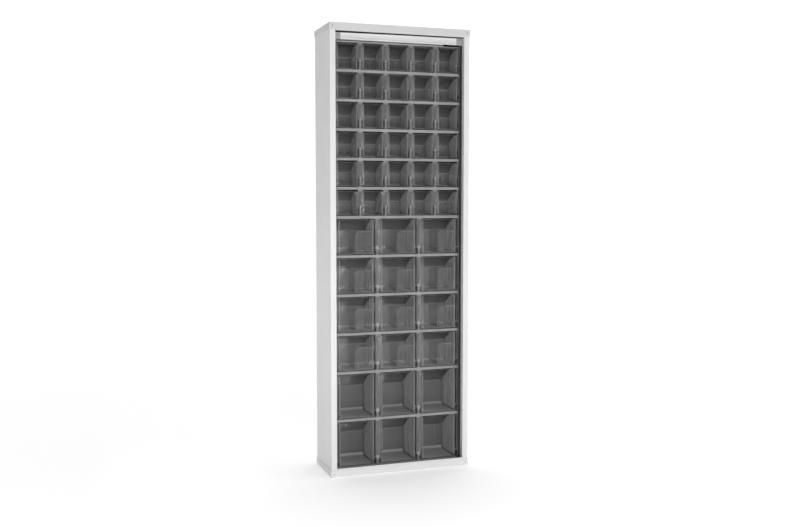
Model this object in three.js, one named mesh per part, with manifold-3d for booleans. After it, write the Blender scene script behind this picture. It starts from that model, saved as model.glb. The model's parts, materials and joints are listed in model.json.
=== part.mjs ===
// Tall sheet-steel cabinet of tilt-out bins behind a roller shutter.
// Millimetres. +X right, +Y back, +Z up. The origin is the middle of the underside, and the front faces -Y.
import * as THREE from 'three';
import { mergeVertices } from 'three/addons/utils/BufferGeometryUtils.js';
import Module from 'manifold-3d';

const wasm = await Module();
wasm.setup();

// Outer size
const WIDTH = 665;
const DEPTH = 266;
const HEIGHT = 2020;
const GAP = 0.3;

// Carcass sheet
const CAP_SHEET = 2;
const CAP_FLANGE = 30;
const SHEET = 1.5;
const LIP_HEIGHT = 38;
const HEADER_HEIGHT = 35;
const OPENING = 609;
const STILE_RETURN = 21.7;
const REAR_FLANGE = 20;
const DECK_TOP = 27.7;
const DECK_DEPTH = 218;

// Racks: stacked housings, three sizes
const RACK_WIDTH = 600;
const RACK_FRONT = -93;
const RACK_BOTTOM = 28;
const RACK_BACK_WALL = 2.5;
const RAIL = 6;
const PARTITION = 7;
const FLANGE_SHEET = 3;
const FLANGE_RECESS = 3;
const SIZES = {
  large: {
    rows: 2, firstRow: 11, cells: 3, height: 218, depth: 172, binDepth: 160,
    pivotHeight: 31, backHeight: 120, topGap: 5, flange: 20, tubInset: 19, shoulder: 24, bow: 10, colour: 0x6f6f72,
  },
  medium: {
    rows: 4, firstRow: 7, cells: 3, height: 176, depth: 141, binDepth: 130,
    pivotHeight: 31, backHeight: 103, topGap: 5, flange: 20, tubInset: 19, shoulder: 20, bow: 6, colour: 0x737376,
  },
  small: {
    rows: 6, firstRow: 1, cells: 5, height: 130, depth: 115, binDepth: 104,
    pivotHeight: 40, backHeight: 63, topGap: 8, flange: 24, tubInset: 14, shoulder: 10, bow: 10, colour: 0x77777a,
  },
};

// Bins
const BIN_WALL = 2.2;
const PANEL_SEAM = 1;
const PANEL_WAIST = 4;
const WAIST_RISE = 4;
const BIN_FLOOR_GAP = 3.8;
const PIVOT_SETBACK = 12;
const PIN_RADIUS = 3.5;
const PIN_HOLE_RADIUS = 4.5;
const PIN_END_GAP = 1;
const PIN_SIDES = 6;
const HEEL = 12;
const BOW_STEPS = 4;

// Roller shutter
const TRACK_THICKNESS = 15;
const TRACK_WIDTH = 17.5;
const SLOT_THICKNESS = 7.6;
const SLOT_DEPTH = 13.5;
const TRACK_FRONT = -108.7;
const TRACK_BOTTOM = 42;
const TRACK_TAIL = 200;
const BEND_RADIUS = 26;
const BEND_START = 1984;
const BEND_STEPS = 6;
const BACK_RUN_Y = 113;
const CURTAIN_THICKNESS = 6;
const CURTAIN_WIDTH = 632;
const CURTAIN_TAIL = 290;
const BAR_BOTTOM = 1952;
const BAR_TOP = 1983;
const BAR_WIDTH = 606;
const BAR_THICKNESS = 14;
const BAR_BEAD = 6;
const BAR_BEAD_RELIEF = 1.6;
const GLIDE_HEIGHT = 22;

// Places worked out from the sizes above
const HALF_WIDTH = WIDTH / 2;
const HALF_DEPTH = DEPTH / 2;
const HALF_OPENING = OPENING / 2;
const PANEL_OUTER_X = HALF_WIDTH - CAP_SHEET - GAP;
const PANEL_OUTER_Y = HALF_DEPTH - CAP_SHEET - GAP;
const TRACK_MIDDLE_Y = TRACK_FRONT + TRACK_THICKNESS / 2;
const FLANGE_FRONT = RACK_FRONT + FLANGE_RECESS;
const PANEL_BACK = FLANGE_FRONT - 0.4;
const PANEL_FRONT = PANEL_BACK - BIN_WALL;
const PIVOT_Y = PANEL_BACK + PIVOT_SETBACK;

const white = new THREE.MeshStandardMaterial({ color: 0xf1f1f3, roughness: 0.45, metalness: 0.1 });
const barWhite = new THREE.MeshStandardMaterial({ color: 0xf6f6f6, roughness: 0.3, metalness: 0.2 });
const rackGrey = new THREE.MeshStandardMaterial({ color: 0xb9babd, roughness: 0.6, metalness: 0 });
const trackBlack = new THREE.MeshStandardMaterial({ color: 0x1c1c1e, roughness: 0.6, metalness: 0 });
const curtainGrey = new THREE.MeshStandardMaterial({ color: 0xd9dadc, roughness: 0.55, metalness: 0 });

const cabinet = new THREE.Group();

// A closed three.js geometry as a solid that can be joined and cut.
function solid(geometry) {
  geometry.deleteAttribute('normal');
  geometry.deleteAttribute('uv');
  const merged = mergeVertices(geometry, 1e-4);
  return new wasm.Manifold(new wasm.Mesh({
    numProp: 3,
    vertProperties: new Float32Array(merged.attributes.position.array),
    triVerts: new Uint32Array(merged.index.array),
  }));
}

function geometryOf(shape) {
  const mesh = shape.getMesh();
  const geometry = new THREE.BufferGeometry();
  geometry.setAttribute('position', new THREE.BufferAttribute(new Float32Array(mesh.vertProperties), 3));
  geometry.setIndex(new THREE.BufferAttribute(new Uint32Array(mesh.triVerts), 1));
  return geometry;
}

function addMesh(name, geometry, material, z = 0, x = 0) {
  const mesh = new THREE.Mesh(geometry, material);
  mesh.name = name;
  mesh.position.set(x, 0, z);
  cabinet.add(mesh);
}

function block(x0, x1, y0, y1, z0, z1) {
  const geometry = new THREE.BoxGeometry(x1 - x0, y1 - y0, z1 - z0);
  geometry.translate((x0 + x1) / 2, (y0 + y1) / 2, (z0 + z1) / 2);
  return solid(geometry);
}

// An outline of [x, y] points, raised from z0 to z1.
function prismZ(points, z0, z1) {
  const shape = new THREE.Shape(points.map(([x, y]) => new THREE.Vector2(x, y)));
  const geometry = new THREE.ExtrudeGeometry(shape, { depth: z1 - z0, bevelEnabled: false });
  geometry.translate(0, 0, z0);
  return solid(geometry);
}

// An outline of [y, z] points, stretched from x0 to x1.
function prismX(points, x0, x1) {
  const shape = new THREE.Shape(points.map(([y, z]) => new THREE.Vector2(y, z)));
  const geometry = new THREE.ExtrudeGeometry(shape, { depth: x1 - x0, bevelEnabled: false });
  geometry.applyMatrix4(new THREE.Matrix4().makeBasis(
    new THREE.Vector3(0, 1, 0),
    new THREE.Vector3(0, 0, 1),
    new THREE.Vector3(1, 0, 0),
  ));
  geometry.translate(x0, 0, 0);
  return solid(geometry);
}

// An outline of [x, z] points, stretched from y0 back to y1.
function prismY(points, y0, y1) {
  const shape = new THREE.Shape(points.map(([x, z]) => new THREE.Vector2(x, z)));
  const geometry = new THREE.ExtrudeGeometry(shape, { depth: y1 - y0, bevelEnabled: false });
  geometry.rotateX(Math.PI / 2);
  geometry.translate(0, y1, 0);
  return solid(geometry);
}

function rod(radius, x0, x1, y, z) {
  const geometry = new THREE.CylinderGeometry(radius, radius, x1 - x0, PIN_SIDES);
  geometry.rotateZ(Math.PI / 2);
  geometry.translate((x0 + x1) / 2, y, z);
  return solid(geometry);
}

// Folded side panel: outer wall, front stile with its return, and a flange at the back.
function sidePanel(side) {
  const wallInside = PANEL_OUTER_X - SHEET;
  const frontInside = -PANEL_OUTER_Y + SHEET;
  const backInside = PANEL_OUTER_Y - SHEET;
  const returnEnd = -PANEL_OUTER_Y + STILE_RETURN;
  const flangeEnd = PANEL_OUTER_X - REAR_FLANGE;
  const outline = [
    [HALF_OPENING, returnEnd],
    [HALF_OPENING, -PANEL_OUTER_Y],
    [PANEL_OUTER_X, -PANEL_OUTER_Y],
    [PANEL_OUTER_X, PANEL_OUTER_Y],
    [flangeEnd, PANEL_OUTER_Y],
    [flangeEnd, backInside],
    [wallInside, backInside],
    [wallInside, frontInside],
    [HALF_OPENING + SHEET, frontInside],
    [HALF_OPENING + SHEET, returnEnd],
  ];
  const edge = CAP_SHEET + GAP;
  return prismZ(outline.map(([x, y]) => [side * x, y]), edge, HEIGHT - edge);
}

// Back panel: a sheet behind the rear flanges' inner faces, with its long edges folded forward.
function backPanel() {
  const halfSheet = PANEL_OUTER_X - SHEET - 2;
  const outside = PANEL_OUTER_Y - SHEET - GAP;
  const fold = 8;
  const outline = [
    [-halfSheet, outside],
    [-halfSheet, outside - fold],
    [-halfSheet + SHEET, outside - fold],
    [-halfSheet + SHEET, outside - SHEET],
    [halfSheet - SHEET, outside - SHEET],
    [halfSheet - SHEET, outside - fold],
    [halfSheet, outside - fold],
    [halfSheet, outside],
  ];
  return prismZ(outline, CAP_SHEET + GAP, HEIGHT - CAP_SHEET - GAP);
}

// Shallow tray that covers an end of the cabinet: a plate with a flange all round.
function tray(z0, z1, plateZ0, plateZ1) {
  const inside = block(
    -HALF_WIDTH + CAP_SHEET, HALF_WIDTH - CAP_SHEET,
    -HALF_DEPTH + CAP_SHEET, HALF_DEPTH - CAP_SHEET,
    z0 - 1, z1 + 1,
  );
  const ring = block(-HALF_WIDTH, HALF_WIDTH, -HALF_DEPTH, HALF_DEPTH, z0, z1).subtract(inside);
  return ring.add(block(-HALF_WIDTH, HALF_WIDTH, -HALF_DEPTH, HALF_DEPTH, plateZ0, plateZ1));
}

function topCap() {
  const headerFront = -HALF_DEPTH + CAP_SHEET - GAP;
  const header = block(
    -HALF_OPENING + 1, HALF_OPENING - 1,
    headerFront, headerFront + SHEET + GAP,
    HEIGHT - HEADER_HEIGHT, HEIGHT - CAP_SHEET / 2,
  );
  return tray(HEIGHT - CAP_FLANGE, HEIGHT, HEIGHT - CAP_SHEET, HEIGHT).add(header);
}

// Base tray with the front lip and the raised deck that the racks stand on.
function baseTray() {
  const lipFront = -HALF_DEPTH + CAP_SHEET - GAP;
  const deckBack = lipFront + DECK_DEPTH;
  const halfDeck = HALF_OPENING - 1;
  const lip = block(-halfDeck, halfDeck, lipFront, lipFront + SHEET + GAP, CAP_SHEET / 2, LIP_HEIGHT);
  const deck = block(-halfDeck, halfDeck, lipFront, deckBack, DECK_TOP - SHEET, DECK_TOP);
  const leg = block(-halfDeck, halfDeck, deckBack - SHEET, deckBack, CAP_SHEET / 2, DECK_TOP);
  return tray(0, CAP_FLANGE, 0, CAP_SHEET).add(lip).add(deck).add(leg);
}

// Strip on a partition's front edge. It stops above the pivot so that the bin can swing in, and it tapers there.
function flangeOutline(centre, half, bottom, top) {
  return [
    [centre - half, top],
    [centre - half, bottom + half / 2],
    [centre - PARTITION / 2, bottom],
    [centre + PARTITION / 2, bottom],
    [centre + half, bottom + half / 2],
    [centre + half, top],
  ];
}

// One rack: a stack of housings, each a row of open-fronted cells.
function rack(size) {
  const pitch = RACK_WIDTH / size.cells;
  const back = RACK_FRONT + size.depth;
  const halfRack = RACK_WIDTH / 2;
  let body = block(-halfRack, halfRack, RACK_FRONT, back, 0, size.rows * size.height);
  for (let row = 0; row < size.rows; row += 1) {
    const floor = row * size.height + RAIL;
    const ceiling = (row + 1) * size.height - RAIL;
    for (let cell = 0; cell < size.cells; cell += 1) {
      const left = -halfRack + cell * pitch;
      body = body.subtract(block(
        left + PARTITION / 2, left + pitch - PARTITION / 2,
        RACK_FRONT - 1, back - RACK_BACK_WALL,
        floor, ceiling,
      ));
    }
    for (let wall = 0; wall <= size.cells; wall += 1) {
      const x = -halfRack + wall * pitch;
      const bottom = floor + size.pivotHeight + 2;
      const strip = prismY(
        flangeOutline(x, size.flange / 2, bottom, ceiling + 1),
        FLANGE_FRONT, FLANGE_FRONT + FLANGE_SHEET,
      );
      body = body.add(strip.intersect(block(-halfRack, halfRack, RACK_FRONT, back, floor, ceiling + 1)));
      body = body.subtract(block(x - PARTITION, x + PARTITION, RACK_FRONT - 1, FLANGE_FRONT, floor, ceiling)
        .intersect(block(-halfRack, halfRack, RACK_FRONT - 1, back, floor, ceiling)));
      body = body.subtract(rod(
        PIN_HOLE_RADIUS, x - PARTITION, x + PARTITION, PIVOT_Y, floor + size.pivotHeight,
      ));
    }
  }
  return body;
}

// The bin's side outline: flat floor, chamfered heel, low back wall, and a bowed top edge that rises to the front.
function tubOutline(size, top) {
  const back = PANEL_BACK + size.binDepth - BIN_WALL;
  const backTop = BIN_FLOOR_GAP + size.backHeight;
  const frontEnd = PANEL_BACK + size.shoulder;
  const length = Math.hypot(back - frontEnd, top - backTop);
  const points = [
    [PANEL_BACK, BIN_FLOOR_GAP],
    [back - HEEL, BIN_FLOOR_GAP],
    [back, BIN_FLOOR_GAP + HEEL],
    [back, backTop],
  ];
  for (let i = 1; i < BOW_STEPS; i += 1) {
    const t = i / BOW_STEPS;
    const rise = 4 * size.bow * t * (1 - t);
    points.push([
      back + (frontEnd - back) * t + (rise * (top - backTop)) / length,
      backTop + (top - backTop) * t + (rise * (back - frontEnd)) / length,
    ]);
  }
  points.push([frontEnd, top]);
  points.push([PANEL_BACK, top]);
  return points;
}

// One bin at its cell's place: the cell's middle is x = 0 and the cell's floor is z = 0.
function bin(size) {
  const half = RACK_WIDTH / size.cells / 2;
  const top = size.height - 2 * RAIL - size.topGap;
  const tubHalf = half - size.tubInset;
  const back = PANEL_BACK + size.binDepth - BIN_WALL;
  const waist = size.pivotHeight + WAIST_RISE;
  const panel = prismY([
    [-half + PANEL_WAIST, BIN_FLOOR_GAP],
    [half - PANEL_WAIST, BIN_FLOOR_GAP],
    [half - PANEL_WAIST, waist],
    [half - PANEL_SEAM, waist + 3],
    [half - PANEL_SEAM, top],
    [-half + PANEL_SEAM, top],
    [-half + PANEL_SEAM, waist + 3],
    [-half + PANEL_WAIST, waist],
  ], PANEL_FRONT, PANEL_BACK);
  const hollow = [
    [PANEL_BACK, BIN_FLOOR_GAP + BIN_WALL],
    [back - HEEL - BIN_WALL / 2, BIN_FLOOR_GAP + BIN_WALL],
    [back - BIN_WALL, BIN_FLOOR_GAP + HEEL + BIN_WALL / 2],
    [back - BIN_WALL, top + 1],
    [PANEL_BACK, top + 1],
  ];
  const pinEnd = half - PIN_END_GAP;
  return prismX(tubOutline(size, top), -tubHalf, tubHalf)
    .subtract(prismX(hollow, -tubHalf + BIN_WALL, tubHalf - BIN_WALL))
    .add(panel)
    .add(rod(PIN_RADIUS, -pinEnd, -tubHalf + BIN_WALL / 2, PIVOT_Y, size.pivotHeight))
    .add(rod(PIN_RADIUS, tubHalf - BIN_WALL / 2, pinEnd, PIVOT_Y, size.pivotHeight));
}

// The shutter's route seen from the side, as a band: up the front, over the top and down the back.
function routeBand(thickness, frontEnd, backEnd) {
  const half = thickness / 2;
  const centres = [
    [TRACK_MIDDLE_Y + BEND_RADIUS, Math.PI, Math.PI / 2],
    [BACK_RUN_Y - BEND_RADIUS, Math.PI / 2, 0],
  ];
  const edge = (radius) => centres.flatMap(([y, start, end]) => {
    const points = [];
    for (let i = 0; i <= BEND_STEPS; i += 1) {
      const angle = start + ((end - start) * i) / BEND_STEPS;
      points.push([y + radius * Math.cos(angle), BEND_START + radius * Math.sin(angle)]);
    }
    return points;
  });
  return [
    [TRACK_MIDDLE_Y - half, frontEnd],
    ...edge(BEND_RADIUS + half),
    [BACK_RUN_Y + half, backEnd],
    [BACK_RUN_Y - half, backEnd],
    ...edge(BEND_RADIUS - half).reverse(),
    [TRACK_MIDDLE_Y + half, frontEnd],
  ];
}

function guideTrack(side) {
  const inner = side * HALF_OPENING;
  const outer = side * (HALF_OPENING + TRACK_WIDTH);
  const slotEnd = side * (HALF_OPENING + SLOT_DEPTH);
  const channel = prismX(
    routeBand(TRACK_THICKNESS, TRACK_BOTTOM, TRACK_TAIL), Math.min(inner, outer), Math.max(inner, outer),
  );
  const slot = prismX(
    routeBand(SLOT_THICKNESS, TRACK_BOTTOM - 1, TRACK_TAIL - 1),
    Math.min(inner - side, slotEnd), Math.max(inner - side, slotEnd),
  );
  return channel.subtract(slot);
}

function shutterCurtain() {
  const outline = routeBand(CURTAIN_THICKNESS, BAR_TOP + GAP, CURTAIN_TAIL);
  return prismX(outline, -CURTAIN_WIDTH / 2, CURTAIN_WIDTH / 2);
}

// End bar: a strip with a raised bead along its top and bottom edges, and a flat glide at each end.
function shutterEndBar() {
  const front = TRACK_MIDDLE_Y - BAR_THICKNESS / 2;
  const back = TRACK_MIDDLE_Y + BAR_THICKNESS / 2;
  const web = front + BAR_BEAD_RELIEF;
  const outline = [
    [front, BAR_BOTTOM],
    [back, BAR_BOTTOM],
    [back, BAR_TOP],
    [front, BAR_TOP],
    [front, BAR_TOP - BAR_BEAD],
    [web, BAR_TOP - BAR_BEAD - BAR_BEAD_RELIEF],
    [web, BAR_BOTTOM + BAR_BEAD + BAR_BEAD_RELIEF],
    [front, BAR_BOTTOM + BAR_BEAD],
  ];
  const middle = (BAR_BOTTOM + BAR_TOP) / 2;
  const glide = block(
    -CURTAIN_WIDTH / 2, CURTAIN_WIDTH / 2,
    TRACK_MIDDLE_Y - CURTAIN_THICKNESS / 2, TRACK_MIDDLE_Y + CURTAIN_THICKNESS / 2,
    middle - GLIDE_HEIGHT / 2, middle + GLIDE_HEIGHT / 2,
  );
  return prismX(outline, -BAR_WIDTH / 2, BAR_WIDTH / 2).add(glide);
}

addMesh('left_side_panel', geometryOf(sidePanel(-1)), white);
addMesh('right_side_panel', geometryOf(sidePanel(1)), white);
addMesh('back_panel', geometryOf(backPanel()), white);
addMesh('top_cap', geometryOf(topCap()), white);
addMesh('base_tray', geometryOf(baseTray()), white);
addMesh('left_guide_track', geometryOf(guideTrack(-1)), trackBlack);
addMesh('right_guide_track', geometryOf(guideTrack(1)), trackBlack);
addMesh('shutter_curtain', geometryOf(shutterCurtain()), curtainGrey);
addMesh('shutter_end_bar', geometryOf(shutterEndBar()), barWhite);

// Racks stand on each other from the deck up, and rows are counted from the top.
let rackFloor = RACK_BOTTOM;
for (const [name, size] of Object.entries(SIZES)) {
  addMesh(`bin_rack_${name}`, geometryOf(rack(size)), rackGrey, rackFloor);
  const smoke = new THREE.MeshStandardMaterial({
    color: size.colour, roughness: 0.12, metalness: 0, transparent: true, opacity: 0.55,
  });
  const geometry = geometryOf(bin(size));
  const pitch = RACK_WIDTH / size.cells;
  for (let row = 0; row < size.rows; row += 1) {
    const floor = rackFloor + (size.rows - 1 - row) * size.height + RAIL;
    for (let cell = 0; cell < size.cells; cell += 1) {
      const x = (cell - (size.cells - 1) / 2) * pitch;
      addMesh(`${name}_bin_r${size.firstRow + row}_c${cell + 1}`, geometry, smoke, floor, x);
    }
  }
  rackFloor += size.rows * size.height + GAP;
}

export default cabinet;
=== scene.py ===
# Roller-shutter cabinet of tilt-out bins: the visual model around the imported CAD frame. Metres, +Z up.
import json
import math
import random

import bmesh
import bpy
from mathutils import Matrix, Vector


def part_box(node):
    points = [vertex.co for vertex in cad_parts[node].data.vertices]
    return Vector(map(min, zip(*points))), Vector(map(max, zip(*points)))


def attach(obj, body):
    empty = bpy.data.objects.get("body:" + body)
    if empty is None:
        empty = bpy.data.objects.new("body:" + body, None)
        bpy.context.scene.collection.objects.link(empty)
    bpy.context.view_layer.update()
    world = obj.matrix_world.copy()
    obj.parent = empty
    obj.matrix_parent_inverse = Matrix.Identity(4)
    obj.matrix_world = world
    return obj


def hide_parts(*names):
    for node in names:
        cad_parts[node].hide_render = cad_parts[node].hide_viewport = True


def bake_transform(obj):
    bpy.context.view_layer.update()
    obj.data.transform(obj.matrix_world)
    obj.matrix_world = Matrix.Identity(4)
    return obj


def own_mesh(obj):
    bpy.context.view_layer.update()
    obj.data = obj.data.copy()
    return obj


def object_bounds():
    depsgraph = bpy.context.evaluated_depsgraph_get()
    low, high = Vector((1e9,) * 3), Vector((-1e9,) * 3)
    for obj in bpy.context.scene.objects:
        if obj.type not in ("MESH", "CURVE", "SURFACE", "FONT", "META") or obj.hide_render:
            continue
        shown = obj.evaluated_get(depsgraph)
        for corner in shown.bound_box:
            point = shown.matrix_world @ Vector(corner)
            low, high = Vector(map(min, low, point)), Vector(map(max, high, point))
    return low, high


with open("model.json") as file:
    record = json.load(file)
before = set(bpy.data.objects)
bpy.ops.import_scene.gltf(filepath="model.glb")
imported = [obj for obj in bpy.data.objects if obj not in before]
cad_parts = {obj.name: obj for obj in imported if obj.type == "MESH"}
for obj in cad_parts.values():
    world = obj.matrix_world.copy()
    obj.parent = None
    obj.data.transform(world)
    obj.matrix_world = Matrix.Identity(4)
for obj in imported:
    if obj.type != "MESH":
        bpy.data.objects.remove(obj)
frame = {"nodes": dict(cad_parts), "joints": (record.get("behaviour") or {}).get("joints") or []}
cad_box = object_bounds()

MM = 0.001
# Where each bin's pins turn, and how far down the end bar runs.
PIVOTS = {j["child"]: Vector(j["pos_m"]) for j in frame["joints"] if j["type"] == "hinge"}
SHUTTER_TRAVEL = -next(j for j in frame["joints"] if j["type"] == "slide")["range_m"][0]
rng = random.Random(7)


# ---------------------------------------------------------------- materials

class Nodes:
    """A new node material with short calls for the nodes that it is made of."""

    def __init__(self, name):
        self.material = bpy.data.materials.new(name)
        self.material.use_nodes = True
        self.tree = self.material.node_tree
        self.tree.nodes.clear()
        self.output = self.tree.nodes.new("ShaderNodeOutputMaterial")
        self.place = self.tree.nodes.new("ShaderNodeTexCoord").outputs["Object"]

    def add(self, kind, inputs=(), **settings):
        """A node with its settings, and with a link or a value for each input."""
        node = self.tree.nodes.new(kind)
        for key, value in settings.items():
            setattr(node, key, value)
        for key, value in dict(inputs).items():
            if isinstance(value, bpy.types.NodeSocket):
                self.tree.links.new(value, node.inputs[key])
            else:
                node.inputs[key].default_value = value
        return node

    def part(self, vector, axis):
        return self.add("ShaderNodeSeparateXYZ", {0: vector}).outputs[axis]

    def calculate(self, operation, *values):
        return self.add("ShaderNodeMath", dict(enumerate(values)), operation=operation).outputs[0]

    def stretched(self, x, y, z):
        return self.add("ShaderNodeMapping", {"Vector": self.place, "Scale": (x, y, z)}).outputs[0]

    def noise(self, scale, detail=2.0, vector=None):
        inputs = {"Vector": vector or self.place, "Scale": scale, "Detail": detail}
        return self.add("ShaderNodeTexNoise", inputs).outputs["Fac"]

    def spread(self, value, low, high, from_low=0.3, from_high=0.7):
        """Takes a value from one range to another. The usual first range is most of what a noise gives."""
        inputs = {"Value": value, "From Min": from_low, "From Max": from_high, "To Min": low, "To Max": high}
        return self.add("ShaderNodeMapRange", inputs).outputs["Result"]

    def between(self, factor, dark, light):
        """A mix of two colours. The mix node takes them at inputs 6 and 7, and gives the mix at output 2."""
        inputs = {"Factor": factor, 6: (*dark, 1), 7: (*light, 1)}
        return self.add("ShaderNodeMix", inputs, data_type="RGBA").outputs[2]

    def bump(self, height, distance, strength=1.0, normal=None):
        inputs = {"Height": height, "Distance": distance, "Strength": strength}
        if normal is not None:
            inputs["Normal"] = normal
        return self.add("ShaderNodeBump", inputs).outputs["Normal"]

    def finish(self, shader):
        self.tree.links.new(shader, self.output.inputs["Surface"])
        return self.material


def coated_steel(name, dark, light):
    """White powder coat: fine orange peel, faint cloudiness and a few duller patches."""
    n = Nodes(name)
    tone = n.between(n.noise(3.0, 4.0), dark, light)
    peel = n.bump(n.noise(620.0, 3.0), 0.00012, 0.35)
    shader = n.add("ShaderNodeBsdfPrincipled", {
        "Base Color": tone,
        "Roughness": n.spread(n.noise(11.0, 5.0), 0.36, 0.50),
        "Normal": n.bump(n.noise(9.0, 2.0), 0.0006, 0.25, peel),
    })
    return n.finish(shader.outputs[0])


def moulded_plastic(name, dark, light, low, high, gloss=0.5):
    """Matt moulded plastic with a spark-eroded grain."""
    n = Nodes(name)
    shader = n.add("ShaderNodeBsdfPrincipled", {
        "Base Color": n.between(n.noise(14.0, 3.0), dark, light),
        "Roughness": n.spread(n.noise(40.0, 4.0), low, high),
        "Specular IOR Level": gloss,
        "Normal": n.bump(n.noise(1400.0, 2.0), 0.0001, 0.5),
    })
    return n.finish(shader.outputs[0])


FADE_GAIN = 1.9


def smoke_plastic(name, solid, dark, light, rough, painted_fades=()):
    """Smoke-tinted styrene. Solid is the share of light that one face of the wall stops. Each of the painted
    fades is an axis, and the places on it where the tint is darkest and lightest: painted light and shade.
    The gain makes up for noise near a half."""
    n = Nodes(name)
    tone = n.noise(26.0, 5.0)
    # Each fade paints light and shade into the tint along its axis.
    for axis, darkest, lightest in painted_fades:
        level = n.spread(n.part(n.place, axis), 0.0, 1.0, darkest, lightest)
        tone = n.calculate("MULTIPLY", tone, level)
    if painted_fades:
        tone = n.calculate("MULTIPLY", tone, FADE_GAIN)
    flow = n.noise(1.0, 1.0, n.stretched(30.0, 30.0, 8.0))
    scuffs = n.noise(1.0, 2.0, n.stretched(160.0, 60.0, 40.0))
    shader = n.add("ShaderNodeBsdfPrincipled", {
        "Base Color": n.between(tone, (dark, dark, dark * 1.01), (light, light, light * 1.01)),
        "Roughness": n.spread(scuffs, rough, rough * 2.5, 0.45, 0.75),
        "IOR": 1.6,
        "Alpha": solid,
        "Normal": n.bump(flow, 0.0006, 0.20),
    })
    return n.finish(shader.outputs[0])


def rack_plastic_with_painted_shade():
    """Grey polystyrene with a fine grain, with light and shade painted into its colour. Its front faces are
    painted lightest, as lit, the rails' ends darker as the tracks' shade, and the cells darkest deep inside
    as painted shade, where walls that face sideways stay light a little further in."""
    n = Nodes("rack_grey_plastic_painted_shade")
    depth = n.part(n.place, "Y")
    outward = n.calculate("ABSOLUTE", n.part(n.place, "X"))
    facing = n.add("ShaderNodeNewGeometry").outputs["True Normal"]
    sideways = n.calculate("ABSOLUTE", n.part(facing, "X"))
    inward = n.calculate("MULTIPLY_ADD", sideways, -0.035, depth)
    # Painted light and shade: a lighter front face, as lit; darker rails' ends, as the tracks' shade; darker
    # deeper in the cells, as shade.
    painted_lit_front = n.spread(depth, 0.31, 0.245, -0.0918, -0.0902)
    painted_rail_end_shadow = n.spread(outward, 1.0, 0.35, 0.290, 0.293)
    shade = n.spread(inward, 1.0, 0.12, -0.088, -0.03)
    tone = n.spread(n.noise(14.0, 3.0), 0.88, 1.12)
    for factor in (painted_rail_end_shadow, painted_lit_front, shade):
        tone = n.calculate("MULTIPLY", tone, factor)
    shader = n.add("ShaderNodeBsdfPrincipled", {
        "Base Color": n.between(tone, (0.0, 0.0, 0.0), (1.0, 1.0, 1.01)),
        "Roughness": n.spread(n.noise(40.0, 4.0), 0.34, 0.52),
        "Normal": n.bump(n.noise(1400.0, 2.0), 0.0001, 0.5),
    })
    return n.finish(shader.outputs[0])


def coated_bar():
    """White coated aluminium with faint lines along the extrusion."""
    n = Nodes("white_coated_aluminium")
    lines = n.noise(1.0, 3.0, n.stretched(6.0, 900.0, 900.0))
    shader = n.add("ShaderNodeBsdfPrincipled", {
        "Base Color": n.between(n.noise(7.0, 3.0), (0.82, 0.82, 0.825), (0.88, 0.88, 0.88)),
        "Roughness": n.spread(lines, 0.25, 0.38),
        "Normal": n.bump(lines, 0.00008, 0.5),
    })
    return n.finish(shader.outputs[0])


def brush_fibre():
    """Black bristles: fine streaks that run down the tufts."""
    n = Nodes("black_bristle")
    streaks = n.noise(1.0, 2.0, n.stretched(1600.0, 1600.0, 60.0))
    shader = n.add("ShaderNodeBsdfPrincipled", {
        "Base Color": n.between(streaks, (0.004, 0.004, 0.004), (0.02, 0.02, 0.021)),
        "Roughness": n.spread(streaks, 0.55, 0.85),
        "Normal": n.bump(streaks, 0.0002, 0.6),
    })
    return n.finish(shader.outputs[0])


def rivet_metal():
    """Dull steel with a fine grain."""
    n = Nodes("rivet_steel")
    turned = n.noise(1.0, 3.0, n.stretched(500.0, 500.0, 500.0))
    shader = n.add("ShaderNodeBsdfPrincipled", {
        "Base Color": n.between(turned, (0.42, 0.42, 0.43), (0.55, 0.55, 0.56)),
        "Metallic": 0.85,
        "Roughness": n.spread(turned, 0.28, 0.5),
    })
    return n.finish(shader.outputs[0])


def studio_floor():
    """A pale floor that glows more the further away it is, so that it fades into the wall."""
    n = Nodes("studio_floor")
    away = n.add("ShaderNodeVectorMath", {0: n.place}, operation="LENGTH").outputs["Value"]
    shader = n.add("ShaderNodeBsdfPrincipled", {
        "Base Color": n.between(n.noise(0.8, 3.0), (0.93, 0.93, 0.93), (0.95, 0.95, 0.95)),
        "Roughness": 0.75,
        "Specular IOR Level": 0.1,
        "Emission Color": (1, 1, 1, 1),
        "Emission Strength": n.spread(away, 0.28, 0.52, 1.0, 7.0),
    })
    return n.finish(shader.outputs[0])


def studio_backdrop():
    """An even white glow."""
    n = Nodes("studio_backdrop")
    shader = n.add("ShaderNodeEmission", {
        "Color": n.between(n.noise(0.05, 2.0), (0.98, 0.98, 0.98), (1.0, 1.0, 1.0)),
        "Strength": 1.1,
    })
    return n.finish(shader.outputs[0])


STEEL = coated_steel("white_powder_coat", (0.78, 0.78, 0.79), (0.83, 0.83, 0.835))
CAP_STEEL = coated_steel("white_powder_coat_cap", (0.66, 0.66, 0.67), (0.71, 0.71, 0.715))
RACK = rack_plastic_with_painted_shade()
TRACK = moulded_plastic("dark_grey_track_plastic", (0.055, 0.055, 0.057), (0.08, 0.08, 0.083), 0.4, 0.6)
CAP = moulded_plastic("grey_end_cap", (0.40, 0.40, 0.405), (0.46, 0.46, 0.465), 0.4, 0.55)
SLAT = moulded_plastic("light_grey_slat", (0.66, 0.66, 0.665), (0.74, 0.74, 0.745), 0.4, 0.55)
RUBBER = moulded_plastic("black_rubber", (0.002, 0.002, 0.002), (0.006, 0.006, 0.006), 0.6, 0.8, 0.1)
# Painted shade and light on the panels: where their tint is darkest and lightest, upwards and across.
# They are darker at the top, as the painted shadow under the rail, and lighter to the left, as painted light
# from that side.
SMALL_PAINTED_SHADE = [("Z", 0.102, 0.060), ("X", 0.06, -0.05)]
MEDIUM_PAINTED_SHADE = [("Z", 0.158, 0.110), ("X", 0.14, -0.09)]
LARGE_PAINTED_SHADE = [("Z", 0.200, 0.180), ("X", 0.12, -0.09)]
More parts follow.
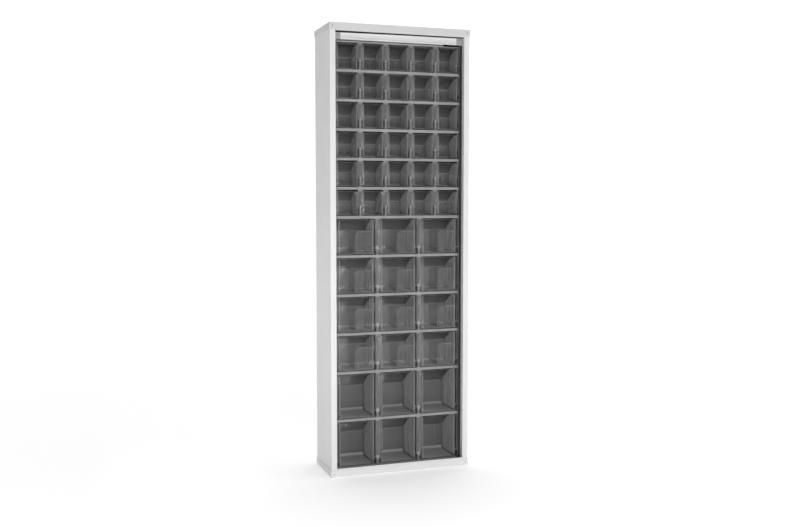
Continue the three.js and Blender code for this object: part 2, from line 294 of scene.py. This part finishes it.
# A bin's panel, its tub's back wall, and its tub's sides and floor. The sides and floor are a lighter,
# hazier copy of the smoke, painted to look lit.
# The tubs' back walls are painted lighter to the left, as lit from that side.
SMOKE = {
    "small": [
        smoke_plastic("smoke_small_panel_painted_shade", 0.15, 0.05, 0.27, 0.05, SMALL_PAINTED_SHADE),
        smoke_plastic("smoke_small_tub_painted_light", 0.22, 0.46, 0.86, 0.07, [("X", 0.01, -0.05)]),
        smoke_plastic("smoke_small_side_painted_light", 0.52, 0.78, 0.96, 0.12),
    ],
    "medium": [
        smoke_plastic("smoke_medium_panel_painted_shade", 0.15, 0.02, 0.32, 0.05, MEDIUM_PAINTED_SHADE),
        smoke_plastic("smoke_medium_tub_painted_light", 0.28, 0.44, 0.84, 0.07, [("X", 0.0, -0.09)]),
        smoke_plastic("smoke_medium_side_painted_light", 0.64, 0.86, 1.0, 0.12),
    ],
    "large": [
        smoke_plastic("smoke_large_panel_painted_shade", 0.15, 0.03, 0.13, 0.05, LARGE_PAINTED_SHADE),
        smoke_plastic("smoke_large_tub_painted_light", 0.22, 0.46, 0.72, 0.07, [("X", 0.02, -0.09)]),
        smoke_plastic("smoke_large_side_painted_light", 0.64, 0.86, 1.0, 0.12),
    ],
}
# Lighter smoke for the bins' rims, beads, ribs, strips and pins: a painted highlight where their edges catch
# the light.
EDGE = smoke_plastic("smoke_edge_painted_highlight", 0.46, 0.44, 0.64, 0.10)
RIM = smoke_plastic("smoke_rim", 0.30, 0.17, 0.27, 0.10)
PLATE = smoke_plastic("smoke_plate", 0.16, 0.30, 0.46, 0.07)
# The divider's smoke is painted dark as shade, darkest towards the front and lighter towards the back.
DARK = smoke_plastic("smoke_divider_painted_shade", 0.34, 0.01, 0.34, 0.07, [("Y", 0.035, 0.135)])
BAR = coated_bar()
BRUSH = brush_fibre()
RIVET = rivet_metal()


# ---------------------------------------------------------------- mesh helpers

def arc(cx, cy, radius, start, end, steps):
    """Points on a circle from start to end, in degrees."""
    points = []
    for i in range(steps + 1):
        a = math.radians(start + (end - start) * i / steps)
        points.append((cx + radius * math.cos(a), cy + radius * math.sin(a)))
    return points


def circle(cx, cy, radius, count):
    """Evenly spaced points round a whole circle."""
    return arc(cx, cy, radius, 0, 360 - 360 / count, count - 1)


def rounded(points, radii, steps=4):
    """A closed outline with each corner rounded to its own radius."""
    out = []
    count = len(points)
    for i, (corner, radius) in enumerate(zip(points, radii)):
        here = Vector(corner)
        before = Vector(points[i - 1]) - here
        after = Vector(points[(i + 1) % count]) - here
        if radius <= 0:
            out.append(tuple(here))
            continue
        reach = min(radius, before.length / 2, after.length / 2)
        a = here + before.normalized() * reach
        b = here + after.normalized() * reach
        for k in range(steps + 1):
            t = k / steps
            out.append(tuple(a * (1 - t) ** 2 + here * 2 * t * (1 - t) + b * t ** 2))
    return out


def place(axis, along, point):
    """A point of an outline across an axis: X takes (y, z), Y takes (x, z) and Z takes (x, y)."""
    a, b = point
    return {"X": (along, a, b), "Y": (a, along, b), "Z": (a, b, along)}[axis]


def prism(bm, outline, axis, low, high, material=0):
    """Adds a closed prism to bm, and returns its side faces in the outline's order."""
    near = [bm.verts.new(place(axis, low, p)) for p in outline]
    far = [bm.verts.new(place(axis, high, p)) for p in outline]
    sides = []
    for i in range(len(outline)):
        k = (i + 1) % len(outline)
        sides.append(bm.faces.new((near[i], near[k], far[k], far[i])))
    ends = [bm.faces.new(near), bm.faces.new(far[::-1])]
    for face in sides + ends:
        face.material_index = material
    bmesh.ops.recalc_face_normals(bm, faces=sides + ends)
    return sides, ends


def block(bm, low, high, material=0):
    """A box between two corners."""
    corners = [(low[1], low[2]), (high[1], low[2]), (high[1], high[2]), (low[1], high[2])]
    return prism(bm, corners, "X", low[0], high[0], material)


def ring(bm, outer, inner, axis, low, high, material=0):
    """A closed frame between two outlines with the same number of points."""
    rings = [[bm.verts.new(place(axis, d, p)) for p in line] for line in (outer, inner) for d in (low, high)]
    count = len(outer)
    made = []
    for a, b in ((0, 1), (1, 3), (3, 2), (2, 0)):
        for i in range(count):
            k = (i + 1) % count
            made.append(bm.faces.new((rings[a][i], rings[a][k], rings[b][k], rings[b][i])))
    for face in made:
        face.material_index = material
    bmesh.ops.recalc_face_normals(bm, faces=made)


def merge(bm, other):
    """Adds the other mesh to bm."""
    mesh = bpy.data.meshes.new("merge")
    other.to_mesh(mesh)
    other.free()
    bm.from_mesh(mesh)
    bpy.data.meshes.remove(mesh)


def pair(side, a, b):
    """Two places across the object on one side of the middle, the lower one first."""
    return sorted((side * a, side * b))


def sharp_edges(bm, angle):
    return [e for e in bm.edges if len(e.link_faces) == 2 and e.calc_face_angle(0.0) > math.radians(angle)]


def round_edges(bm, edges, width, segments):
    """Bevels the edges with a round profile."""
    bmesh.ops.bevel(
        bm, geom=edges, offset=width, segments=segments, profile=0.5, affect="EDGES", clamp_overlap=True,
    )


def soften(bm, width, segments=2, angle=35.0):
    """Rounds every edge sharper than the angle."""
    round_edges(bm, sharp_edges(bm, angle), width, segments)


def to_mesh(bm, name, materials, smooth=35.0):
    """Turns bm into a mesh that is shaded smooth, apart from edges sharper than the angle."""
    mesh = bpy.data.meshes.new(name)
    bm.to_mesh(mesh)
    bm.free()
    for material in materials:
        mesh.materials.append(material)
    mesh.polygons.foreach_set("use_smooth", [True] * len(mesh.polygons))
    mesh.set_sharp_from_angle(angle=math.radians(smooth))
    return mesh


def put(name, mesh, body, at=(0, 0, 0), stands_for=()):
    """Places a mesh in the frame, and has it ride on a body."""
    piece = bpy.data.objects.new(name, mesh)
    bpy.context.scene.collection.objects.link(piece)
    piece.location = at
    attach(piece, body)
    if stands_for:
        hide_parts(*stands_for)
    return piece


def carry(node, material, bevel):
    """Keeps a CAD node's shape, rounds its edges and gives it its material."""
    piece = frame["nodes"][node]
    piece.data.materials.clear()
    piece.data.materials.append(material)
    weld = piece.modifiers.new("weld", "WELD")
    weld.merge_threshold = 0.00002
    edge = piece.modifiers.new("edges", "BEVEL")
    edge.width = bevel
    edge.segments = 3
    edge.limit_method = "ANGLE"
    edge.angle_limit = math.radians(35)
    edge.harden_normals = True


# ---------------------------------------------------------------- bins

BIN_WALL = 2.2 * MM
# From a panel's side to the middle of the partition beside it.
SEAM = 1 * MM
BIN_FORMS = {
    "small": {
        "inset": 14 * MM, "shoulder": 10 * MM, "back_height": 63 * MM, "bow": 10 * MM,
        "corner": 8 * MM, "notch": 6 * MM,
    },
    "medium": {
        "inset": 19 * MM, "shoulder": 20 * MM, "back_height": 103 * MM, "bow": 6 * MM,
        "corner": 9 * MM, "notch": 9.5 * MM,
    },
    "large": {
        "inset": 19 * MM, "shoulder": 24 * MM, "back_height": 120 * MM, "bow": 10 * MM,
        "corner": 10 * MM, "notch": 9.5 * MM,
    },
}
# The material slots of a bin's mesh.
PANEL_PART, TUB_PART, SIDE_PART, EDGE_PART, RIM_PART, PLATE_PART, DARK_PART = range(7)


def top_edge(depth, height, form):
    """The bowed top edge of a bin's side, from the back wall up to the shoulder, as (y, z)."""
    back = Vector((depth, form["back_height"]))
    front = Vector((form["shoulder"], height))
    along = front - back
    out = Vector((along.y, -along.x)).normalized()
    steps = 12
    points = []
    for i in range(steps + 1):
        t = i / steps
        points.append(tuple(back + along * t + out * (4 * form["bow"] * t * (1 - t))))
    return points


def open_tub(depth, height, tub_half, form):
    """The tub's wall: the side outline stretched across, opened at the front and the top, and thickened."""
    heel_radius, side_radius, overlap = 13 * MM, 5 * MM, 0.2 * MM
    heel = arc(depth - heel_radius, heel_radius, heel_radius, -90, 0, 6)
    outline = [(0, 0)] + heel + top_edge(depth, height, form) + [(0, height)]
    bm = bmesh.new()
    sides, ends = prism(bm, outline, "X", -tub_half, tub_half, TUB_PART)
    opened = sides[1 + len(heel):]
    # The sides and the floor take the lighter smoke that is painted to look lit.
    for face in ends + sides[:len(heel)]:
        face.material_index = SIDE_PART
    bmesh.ops.delete(bm, geom=opened, context="FACES_ONLY")
    round_edges(bm, sharp_edges(bm, 60), side_radius, 4)
    loose = [v for v in bm.verts if not v.link_faces]
    bmesh.ops.delete(bm, geom=loose, context="VERTS")
    bmesh.ops.translate(bm, verts=bm.verts, vec=(0, BIN_WALL - overlap, 0))
    return thickened(bm)


def thickened(bm):
    """Gives an open shell the wall's thickness, inwards. A rim face's slot is counted on from that of the
    face beside it and can't pass the last one, so the slots end at EDGE_PART and all the rim gets it."""
    shell = to_mesh(bm, "tub_shell", [SMOKE["small"][SIDE_PART]] * (EDGE_PART + 1))
    carrier = bpy.data.objects.new("tub_shell", shell)
    bpy.context.scene.collection.objects.link(carrier)
    wall = carrier.modifiers.new("wall", "SOLIDIFY")
    wall.thickness = BIN_WALL
    wall.offset = -1
    wall.use_even_offset = True
    wall.material_offset_rim = EDGE_PART - TUB_PART
    solid = bmesh.new()
    solid.from_mesh(carrier.evaluated_get(bpy.context.evaluated_depsgraph_get()).data)
    bpy.data.objects.remove(carrier)
    bpy.data.meshes.remove(shell)
    return solid


def bin_mesh(kind, size, pivot):
    """One bin in its own place: x from the middle, y from the panel's front, z from the underside."""
    form = BIN_FORMS[kind]
    half = size.x / 2
    tub_half = half + SEAM - form["inset"]
    depth = size.y - BIN_WALL
    height = size.z
    bm = open_tub(depth, height, tub_half, form)
    add_bead(bm, depth, height, tub_half, form)
    add_panel(bm, half, height, pivot.z, form)
    add_pins(bm, half, tub_half, pivot)
    add_ribs(bm, kind, tub_half, depth, form)
    if kind == "medium":
        add_divider(bm, half, depth, form)
    extra = [PLATE, DARK] if kind == "medium" else []
    return to_mesh(bm, f"{kind}_bin_mesh", SMOKE[kind] + [EDGE, RIM] + extra)


def add_pins(bm, half, tub_half, pivot):
    """A pivot pin at each side, with a collar at its root."""
    pin, collar = (3.4 * MM, half), (7.0 * MM, tub_half + 2.0 * MM)
    for side in (-1, 1):
        for radius, reach in (pin, collar):
            low, high = pair(side, tub_half - 0.5 * MM, reach)
            prism(bm, circle(pivot.y, pivot.z, radius, 24), "X", low, high, EDGE_PART)


def add_bead(bm, depth, height, tub_half, form):
    """A bead along the tub's top edge, thicker than the wall, and a strip behind each side of the panel."""
    bead, strip, back = 3.2 * MM, 3.4 * MM, form["back_height"]
    line = [Vector(p) for p in top_edge(depth, height, form)]
    lower = []
    for i, point in enumerate(line):
        along = (line[min(i + 1, len(line) - 1)] - line[max(i - 1, 0)]).normalized()
        lower.append(point + Vector((-along.y, along.x)) * bead)
    band = [(p.x + BIN_WALL, p.y) for p in line + lower[::-1]]
    for side in (-1, 1):
        low, high = pair(side, tub_half + 0.7 * MM, tub_half - BIN_WALL - 0.5 * MM)
        prism(bm, band, "X", low, high, EDGE_PART)
        low, high = pair(side, tub_half, tub_half - strip)
        block(bm, (low, BIN_WALL + 0.4 * MM, 6 * MM), (high, BIN_WALL + strip, height - 5 * MM), EDGE_PART)
    low = (-tub_half + BIN_WALL, depth - 0.8 * MM, back - bead)
    high = (tub_half - BIN_WALL, BIN_WALL + depth + 0.4 * MM, back + 0.3 * MM)
    block(bm, low, high, EDGE_PART)


def panel_outline(half, height, waist, form):
    """Round top corners, a notch at each pivot, a narrower part below it and well rounded bottom corners.
    The notch is taller than it is wide, because the panel above it swings down past the pivot boss."""
    corner, notch, foot, tab, rise = form["corner"], form["notch"], 8 * MM, 3 * MM, 3 * MM
    seam = half + SEAM
    reach = math.degrees(math.acos(SEAM / notch))
    below = math.degrees(math.acos((tab + SEAM) / notch))
    right = rounded([(0, 0), (half - tab, 0), (half - tab, waist - notch)], [0, foot, 0], 6)
    right += arc(seam, waist, notch, 180 + below, 180, 6)
    right += arc(seam, waist + rise, notch, 180, 180 - reach, 6)
    right += rounded([(half, waist + rise + notch), (half, height), (0, height)], [0, corner, 0], 6)[1:]
    left = [(-x, z) for x, z in right[::-1]]
    return right[1:-1] + left[1:-1]


def add_panel(bm, half, height, waist, form):
    """The front panel with a raised rim."""
    outline = panel_outline(half, height, waist, form)
    middle, rim = height / 2, 2.4 * MM
    plate = bmesh.new()
    prism(plate, outline, "Y", 0, BIN_WALL)
    soften(plate, 0.4 * MM)
    for face in plate.faces:
        face.material_index = PANEL_PART if abs(face.normal.y) > 0.99 else RIM_PART
    merge(bm, plate)
    inner = [(x * (1 - rim / half), middle + (z - middle) * (1 - 2 * rim / height)) for x, z in outline]
    ring(bm, outline, inner, "Y", -0.5 * MM, 0.3 * MM, RIM_PART)


def add_ribs(bm, kind, tub_half, depth, form):
    """Upright ribs: short ones inside the back wall, and pairs on the sides that hold a cross divider."""
    rib_half, foot, top = 0.7 * MM, 3 * MM, form["back_height"] - 5 * MM
    share = 3 if kind == "small" else 2
    for x in (-tub_half / share, tub_half / share):
        block(bm, (x - rib_half, depth - 2.0 * MM, foot), (x + rib_half, depth + 0.2 * MM, top), EDGE_PART)
    for y in (0.36 * depth, 0.42 * depth, 0.70 * depth, 0.76 * depth):
        for side in (-1, 1):
            low, high = pair(side, tub_half - BIN_WALL + 0.2 * MM, tub_half - BIN_WALL - 1.4 * MM)
            block(bm, (low, y - rib_half, foot), (high, y + rib_half, top), EDGE_PART)


def add_divider(bm, half, depth, form):
    """A lengthwise divider in the middle, and a plate with a cut corner behind the panel's right half."""
    front, top = BIN_WALL + 0.4 * MM, form["back_height"]
    thin, foot = 0.8 * MM, 2.6 * MM
    block(bm, (-thin, front, foot), (thin, depth - 0.5 * MM, top - 2 * MM), DARK_PART)
    block(bm, (-6.5 * MM, front - 0.2 * MM, foot), (-4.5 * MM, front + 2 * MM, top - 8 * MM), EDGE_PART)
    left, right, bottom = 0.5 * MM, half - 22 * MM, 2 * MM
    cut, edge = 9 * MM, 2.4 * MM
    plate = [(left, bottom), (right, bottom), (right, top), (cut, top), (left, top - cut)]
    inner = [
        (left + edge, bottom + edge), (right - edge, bottom + edge), (right - edge, top - edge),
        (cut + edge * 0.4, top - edge), (left + edge, top - cut - edge * 0.4),
    ]
    prism(bm, plate, "Y", front, front + 1.2 * MM, PLATE_PART)
    ring(bm, plate, inner, "Y", front - 0.3 * MM, front + 2.0 * MM, EDGE_PART)


def make_bins():
    """The bins of one kind share a mesh."""
    meshes = {}
    for body, pivot in PIVOTS.items():
        kind = body.split("_")[0]
        low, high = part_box(body)
        origin = Vector(((low.x + high.x) / 2, low.y, low.z))
        if kind not in meshes:
            meshes[kind] = bin_mesh(kind, high - low, pivot - origin)
        put(f"clear_{body}", meshes[kind], body, origin, [body])


# ---------------------------------------------------------------- cabinet

def make_carcass():
    """The CAD nodes that keep their own shape."""
    for node in ("left_side_panel", "right_side_panel", "back_panel", "base_tray"):
        carry(node, STEEL, 0.5 * MM)
    carry("top_cap", CAP_STEEL, 0.5 * MM)
    for node in ("left_guide_track", "right_guide_track"):
        carry(node, TRACK, 0.3 * MM)
    for node in ("bin_rack_small", "bin_rack_medium", "bin_rack_large"):
        carry(node, RACK, 0.7 * MM)
    carry("shutter_end_bar", BAR, 0.8 * MM)


# A rack's rows and cells, the pivots' height above a floor, and the radius of the bosses.
RACKS = {
    "small": {"rows": 6, "cells": 5, "pivot": 40 * MM, "boss": 4.6 * MM},
    "medium": {"rows": 4, "cells": 3, "pivot": 31 * MM, "boss": 8.0 * MM},
    "large": {"rows": 2, "cells": 3, "pivot": 31 * MM, "boss": 8.0 * MM},
}
RAIL = 6 * MM


def add_rail_bead(bm, left, right, front, bottom):
    """A rounded bead along a rail's front."""
    steps, swell = 8, 0.85 * MM
    bead = [(front + 0.6 * MM, bottom + 0.2 * MM)]
    for i in range(steps + 1):
        z = bottom + 0.3 * MM + (RAIL - 0.6 * MM) * i / steps
        bead.append((front - swell * math.sin(math.pi * i / steps), z))
    bead.append((front + 0.6 * MM, bottom + RAIL - 0.2 * MM))
    prism(bm, bead, "X", left, right)


def add_web(bm, x, centre, ceiling, front):
    """A flat web on the right of a partition, from its boss up to the rail above."""
    near, far = x + 9.5 * MM, x + 14 * MM
    web = [(near, centre + 11 * MM), (far, centre + 15.5 * MM), (far, ceiling), (near, ceiling)]
    prism(bm, web, "Y", front + 3.0 * MM, front + 5.4 * MM)


def add_boss(bm, x, centre, front, radius):
    """A round pivot boss with a small disc on it."""
    boss = bmesh.new()
    prism(boss, circle(x, centre, radius, 30), "Y", front + 0.5 * MM, front + 3.2 * MM)
    prism(boss, circle(x, centre, radius * 0.45, 24), "Y", front - 0.1 * MM, front + 0.8 * MM)
    soften(boss, 0.5 * MM)
    merge(bm, boss)


def add_gusset(bm, x, floor, front, side):
    """A web with a hollow edge in the corner between a partition and the rail under it."""
    start, size = x + side * 3.2 * MM, 7 * MM
    curve = arc(start + side * size, floor + size, size, -90, -90 - side * 90, 8)
    prism(bm, [(start, floor - 0.3 * MM)] + curve[::-1], "Y", front + 0.4 * MM, front + 3.2 * MM)


def make_rack_trim():
    """The racks' moulded fronts. The topmost rail, right under the parked end bar, has no bead."""
    for kind, form in RACKS.items():
        low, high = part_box(f"bin_rack_{kind}")
        pitch_x = (high.x - low.x) / form["cells"]
        pitch_z = (high.z - low.z) / form["rows"]
        bm = bmesh.new()
        for row in range(form["rows"]):
            floor = low.z + row * pitch_z
            ceiling = floor + pitch_z - RAIL
            plain = kind == "small" and row == form["rows"] - 1
            for bottom in [floor] if plain else [floor, ceiling]:
                add_rail_bead(bm, low.x + 8 * MM, high.x - 6 * MM, low.y, bottom)
            for wall in range(1, form["cells"]):
                x = low.x + wall * pitch_x
                centre = floor + RAIL + form["pivot"]
                if kind != "small":
                    add_web(bm, x, centre, ceiling, low.y)
                add_boss(bm, x, centre, low.y, form["boss"])
                for side in (-1, 1):
                    add_gusset(bm, x, floor + RAIL, low.y, side)
        put(f"rack_trim_{kind}", to_mesh(bm, f"rack_trim_{kind}", [RACK], 40), "cabinet")


def rivet_mesh():
    """A blind rivet: a domed head with the stub of its mandrel in a dimple. It points along -Y."""
    tip = -1.5 * MM
    profile = [(0.9, -1.5), (1.1, -1.0), (1.5, -1.15), (2.4, -1.05), (3.1, -0.7), (3.4, 0.1)]
    steps = 20
    bm = bmesh.new()
    loops = []
    for radius, y in profile:
        line = [(radius * MM * math.cos(math.tau * i / steps), radius * MM * math.sin(math.tau * i / steps))
                for i in range(steps)]
        loops.append([bm.verts.new((x, y * MM, z)) for x, z in line])
    centre = bm.verts.new((0, tip, 0))
    for i in range(steps):
        k = (i + 1) % steps
        bm.faces.new((centre, loops[0][k], loops[0][i]))
        for a, b in zip(loops, loops[1:]):
            bm.faces.new((a[i], a[k], b[k], b[i]))
    bm.faces.new(loops[-1])
    bmesh.ops.recalc_face_normals(bm, faces=bm.faces)
    return to_mesh(bm, "rivet_mesh", [RIVET], 50)


def make_rivets():
    """Rivets through the cap's and the base tray's flanges, front, sides and back."""
    mesh = rivet_mesh()
    low, high = cad_box
    edge, from_front, from_back = 14.5 * MM, 43 * MM, 21 * MM
    turns = {"front": 0, "right": 90, "back": 180, "left": -90}
    for level, z in (("top", high.z - edge), ("base", low.z + edge)):
        spots = []
        for name, side, x in (("left", -1, low.x), ("right", 1, high.x)):
            spots.append(("front", side * (high.x - edge), low.y))
            spots.append(("back", side * (high.x - edge), high.y))
            spots.append((name, x, low.y + from_front))
            spots.append((name, x, high.y - from_back))
        for k, (face, x, y) in enumerate(spots):
            piece = put(f"rivet_{level}_{face}_{k}", mesh, "cabinet")
            turn = Matrix.Rotation(math.radians(turns[face]), 4, "Z")
            piece.matrix_world = Matrix.Translation((x, y, z)) @ turn


def make_track_lips():
    """White lips that fold over the tracks' front walls, up to just under the top cap."""
    skin, wall, top = 0.35 * MM, 3.4 * MM, 1.984
    for name, side in (("left", -1), ("right", 1)):
        low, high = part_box(f"{name}_guide_track")
        inner = high.x if side < 0 else low.x
        bm = bmesh.new()
        a, b = sorted((inner, inner - side * skin))
        block(bm, (a, low.y - 0.2 * MM, low.z), (b, low.y + wall, top))
        soften(bm, 0.1 * MM)
        put(f"{name}_track_lip", to_mesh(bm, "track_lip", [STEEL]), "cabinet")


def make_end_caps():
    """Grey end caps that wrap the end bar, each with three ridges in front."""
    low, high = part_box("shutter_end_bar")
    bar_half = high.x - 13 * MM
    width, skin, ridge_half = 28 * MM, 0.35 * MM, 0.5 * MM
    corners = [
        (low.y - skin, low.z - skin), (high.y + skin, low.z - skin),
        (high.y + skin, high.z + skin), (low.y - skin, high.z + skin),
    ]
    for name, side in (("left", -1), ("right", 1)):
        bm = bmesh.new()
        a, b = pair(side, bar_half - width, bar_half + skin)
        prism(bm, rounded(corners, [1.6 * MM] * 4, 4), "X", a, b)
        for k in range(3):
            x = side * (bar_half - width + (7 + 4 * k) * MM)
            foot = (x - ridge_half, low.y - skin - 0.3 * MM, low.z + 5 * MM)
            block(bm, foot, (x + ridge_half, low.y, high.z - 5 * MM))
        soften(bm, 0.3 * MM)
        put(f"end_bar_{name}_cap", to_mesh(bm, "end_cap", [CAP]), "shutter")


def make_bumper():
    """Black rubber pad under the end bar's right end."""
    low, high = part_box("shutter_end_bar")
    bottom, top = low.z - 8 * MM, low.z + 1 * MM
    left, right, radius = 215 * MM, 291 * MM, 2 * MM
    corners = [
        (low.y + 1 * MM, bottom), (high.y - 4 * MM, bottom),
        (high.y - 2 * MM, top), (low.y + 0.4 * MM, top),
    ]
    bm = bmesh.new()
    prism(bm, rounded(corners, [radius, radius, 0, 0], 4), "X", left, right)
    soften(bm, 0.8 * MM, 2)
    put("end_bar_bumper", to_mesh(bm, "bumper", [RUBBER]), "shutter")


def make_brush():
    """Black brush seal behind the header, whose black paints in the shadow of the slot over the bar: a
    holder, and two rows of tufts that hang in front of the bar's top. The tufts are longest at the left,
    where that painted shadow is widest, and no two are quite alike."""
    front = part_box("top_cap")[0].y + 6 * MM
    bar_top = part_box("shutter_end_bar")[1].z
    reach = -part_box("left_side_panel")[1].x - 1 * MM
    bm = bmesh.new()
    block(bm, (-reach, front - 1 * MM, bar_top + 12 * MM), (reach, front + 7 * MM, bar_top + 24 * MM), 1)
    # The tufts' black and their lengths paint the slot's shadow.
    count, shortest, extra, row_gap, thick = 300, 0.6, 4.6, 3.4, 1.6 * MM
    half = reach / count * 0.86
    for k in range(count):
        x = -reach + (2 * k + 1) * reach / count
        share = k / (count - 1)
        for row in (0, 1):
            y = front + (row * row_gap + rng.uniform(-0.2, 0.2)) * MM
            tip = bar_top - (extra * (1 - share) + shortest + rng.uniform(-0.3, 0.3)) * MM
            tuft = [(x - half, y), (x + half, y), (x + half, y + thick), (x - half, y + thick)]
            prism(bm, tuft, "Z", tip, bar_top + 13 * MM)
    put("header_brush_seal_painted_shadow", to_mesh(bm, "brush", [BRUSH, TRACK]), "cabinet")


def slat_outline(front, bottom, pitch):
    """One slat's side: a bowed face between two grooves, as (y, z), with its back flat."""
    groove, bend, back = front + 1.4 * MM, front + 0.3 * MM, front + 4.6 * MM
    top = bottom + pitch
    return [
        (groove, bottom), (bend, bottom + 0.10 * pitch), (front, bottom + 0.3 * pitch),
        (front, bottom + 0.7 * pitch), (bend, bottom + 0.90 * pitch), (groove, top),
        (back, top), (back, bottom),
    ]


def make_drawn_curtain():
    """The part of the curtain that closes the front, drawn at rest: its slats are gathered above the end
    bar, behind the header, and spaced so that a blend lowering them with the bar would spread them out
    evenly."""
    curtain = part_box("shutter_curtain")
    bar_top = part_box("shutter_end_bar")[1].z
    start, end = bar_top + 22 * MM, bar_top + 1 * MM
    gap = start - end

    def gathered(z):
        """The height at rest of a point that stands at z when the shutter is down, found by halving. A
        blend's share at t is t * t * (3 - 2 * t)."""
        low, high = end, start
        for _ in range(50):
            middle = (low + high) / 2
            t = (start - middle) / gap
            if middle - t * t * (3 - 2 * t) * SHUTTER_TRAVEL < z:
                low = middle
            else:
                high = middle
        return (low + high) / 2

    lowest = end - SHUTTER_TRAVEL
    count = 100
    pitch = (start - lowest) / count
    half = curtain[1].x - 3 * MM
    front = curtain[0].y
    bm = bmesh.new()
    for k in range(count):
        outline = [(y, gathered(z)) for y, z in slat_outline(front, lowest + k * pitch, pitch * 0.995)]
        prism(bm, outline, "X", -half, half)
    piece = bpy.data.objects.new("shutter_slats_front", to_mesh(bm, "slats_front", [SLAT], 25))
    bpy.context.scene.collection.objects.link(piece)
    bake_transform(piece)


def make_stored_curtain():
    """The curtain's stored part, over the top inside the bend and down behind the racks."""
    low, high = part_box("shutter_curtain")
    half = high.x - 3 * MM
    thick, turn = 6 * MM, 26 * MM
    bend, face, groove, back = 2 * MM, 3 * MM, 1.6 * MM, 2 * MM
    centre_z = high.z - turn - thick / 2
    front_y = low.y + thick / 2
    back_y = high.y - thick / 2
    route = arc(front_y + turn, centre_z, turn, 130, 90, 6) + arc(back_y - turn, centre_z, turn, 90, 0, 9)
    down = 90
    route += [(back_y, centre_z + (low.z - centre_z) * i / down) for i in range(1, down + 1)]
    bm = bmesh.new()
    for here, there in zip(route, route[1:]):
        a, b = Vector(here), Vector(there)
        along = (b - a).normalized()
        out = Vector((-along.y, along.x))
        shape = [
            a + out * groove, a + along * bend + out * face,
            b - along * bend + out * face, b + out * groove,
            b - out * back, a - out * back,
        ]
        prism(bm, [tuple(p) for p in shape], "X", -half, half)
    mesh = to_mesh(bm, "slats_stored", [SLAT], 25)
    piece = put("shutter_slats_stored", mesh, "cabinet")
    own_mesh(piece)
    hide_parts("shutter_curtain")


make_carcass()
make_rack_trim()
make_track_lips()
make_rivets()
make_end_caps()
make_bumper()
make_brush()
make_drawn_curtain()
make_stored_curtain()
make_bins()


# ---------------------------------------------------------------- stage, light and camera

FLOOR_REACH = 30.0
WALL_RADIUS = 29.0
WALL_HEIGHT = 40.0


def make_stage():
    """A wide flat floor."""
    corners = [(x * FLOOR_REACH, y * FLOOR_REACH, 0) for x, y in ((-1, -1), (1, -1), (1, 1), (-1, 1))]
    mesh = bpy.data.meshes.new("floor")
    mesh.from_pydata(corners, [], [(0, 1, 2, 3)])
    mesh.materials.append(studio_floor())
    floor = bpy.data.objects.new("floor", mesh)
    bpy.context.scene.collection.objects.link(floor)


def make_backdrop():
    """A bright round wall far behind everything. It is only seen, and gives no light."""
    bm = bmesh.new()
    bmesh.ops.create_cone(
        bm, segments=64, radius1=WALL_RADIUS, radius2=WALL_RADIUS, depth=WALL_HEIGHT, cap_ends=False,
    )
    mesh = to_mesh(bm, "backdrop", [studio_backdrop()])
    wall = bpy.data.objects.new("backdrop", mesh)
    wall.visible_diffuse = False
    wall.visible_glossy = False
    wall.visible_transmission = False
    wall.visible_shadow = False
    bpy.context.scene.collection.objects.link(wall)


def make_light():
    """A pale studio, bright behind the cabinet and on its right, and dim in front of it and on its left."""
    world = bpy.data.worlds.new("studio")
    bpy.context.scene.world = world
    world.use_nodes = True
    tree = world.node_tree
    tree.nodes.clear()
    direction = tree.nodes.new("ShaderNodeTexCoord").outputs["Generated"]
    across = tree.nodes.new("ShaderNodeVectorMath")
    across.operation = "DOT_PRODUCT"
    across.inputs[1].default_value = (0.52, 0.55, 0.0)
    tree.links.new(direction, across.inputs[0])
    level = tree.nodes.new("ShaderNodeMath")
    level.operation = "ADD"
    level.inputs[1].default_value = 0.50
    tree.links.new(across.outputs["Value"], level.inputs[0])
    back = tree.nodes.new("ShaderNodeBackground")
    back.inputs["Color"].default_value = (1, 1, 1, 1)
    tree.links.new(level.outputs[0], back.inputs["Strength"])
    out = tree.nodes.new("ShaderNodeOutputWorld")
    tree.links.new(back.outputs[0], out.inputs["Surface"])


def add_lamp(name, at, towards, size, power):
    """A rectangular lamp that isn't seen itself."""
    lamp = bpy.data.lights.new(name, "AREA")
    lamp.shape = "RECTANGLE"
    lamp.size, lamp.size_y = size
    lamp.energy = power
    holder = bpy.data.objects.new(name, lamp)
    bpy.context.scene.collection.objects.link(holder)
    holder.location = at
    holder.rotation_euler = (Vector(towards) - Vector(at)).to_track_quat("-Z", "Y").to_euler()
    holder.visible_camera = False


def make_camera():
    """Solved from the edges of the carcass."""
    camera = bpy.data.cameras.new("camera")
    camera.lens = 43.71
    camera.sensor_width = 36.0
    camera.clip_end = 100.0
    holder = bpy.data.objects.new("camera", camera)
    bpy.context.scene.collection.objects.link(holder)
    down, right = 4.014, 18.872
    holder.location = (-1.430, -4.227, 1.263)
    holder.rotation_euler = (math.radians(90 - down), 0, math.radians(-right))
    bpy.context.scene.camera = holder


make_stage()
make_backdrop()
make_light()
add_lamp("key", (-0.58, -3.3, 0.5), (0, 0, 0.5), (1.6, 0.9), 43)
add_lamp("left", (-1.35, 0.0, 0.7), (0, 0, 0.7), (0.5, 0.5), 1.2)
add_lamp("overhead", (0.5, -1.0, 7.0), (0, 0, 0), (6.0, 6.0), 140)
make_camera()
bpy.context.scene.view_settings.view_transform = "Standard"
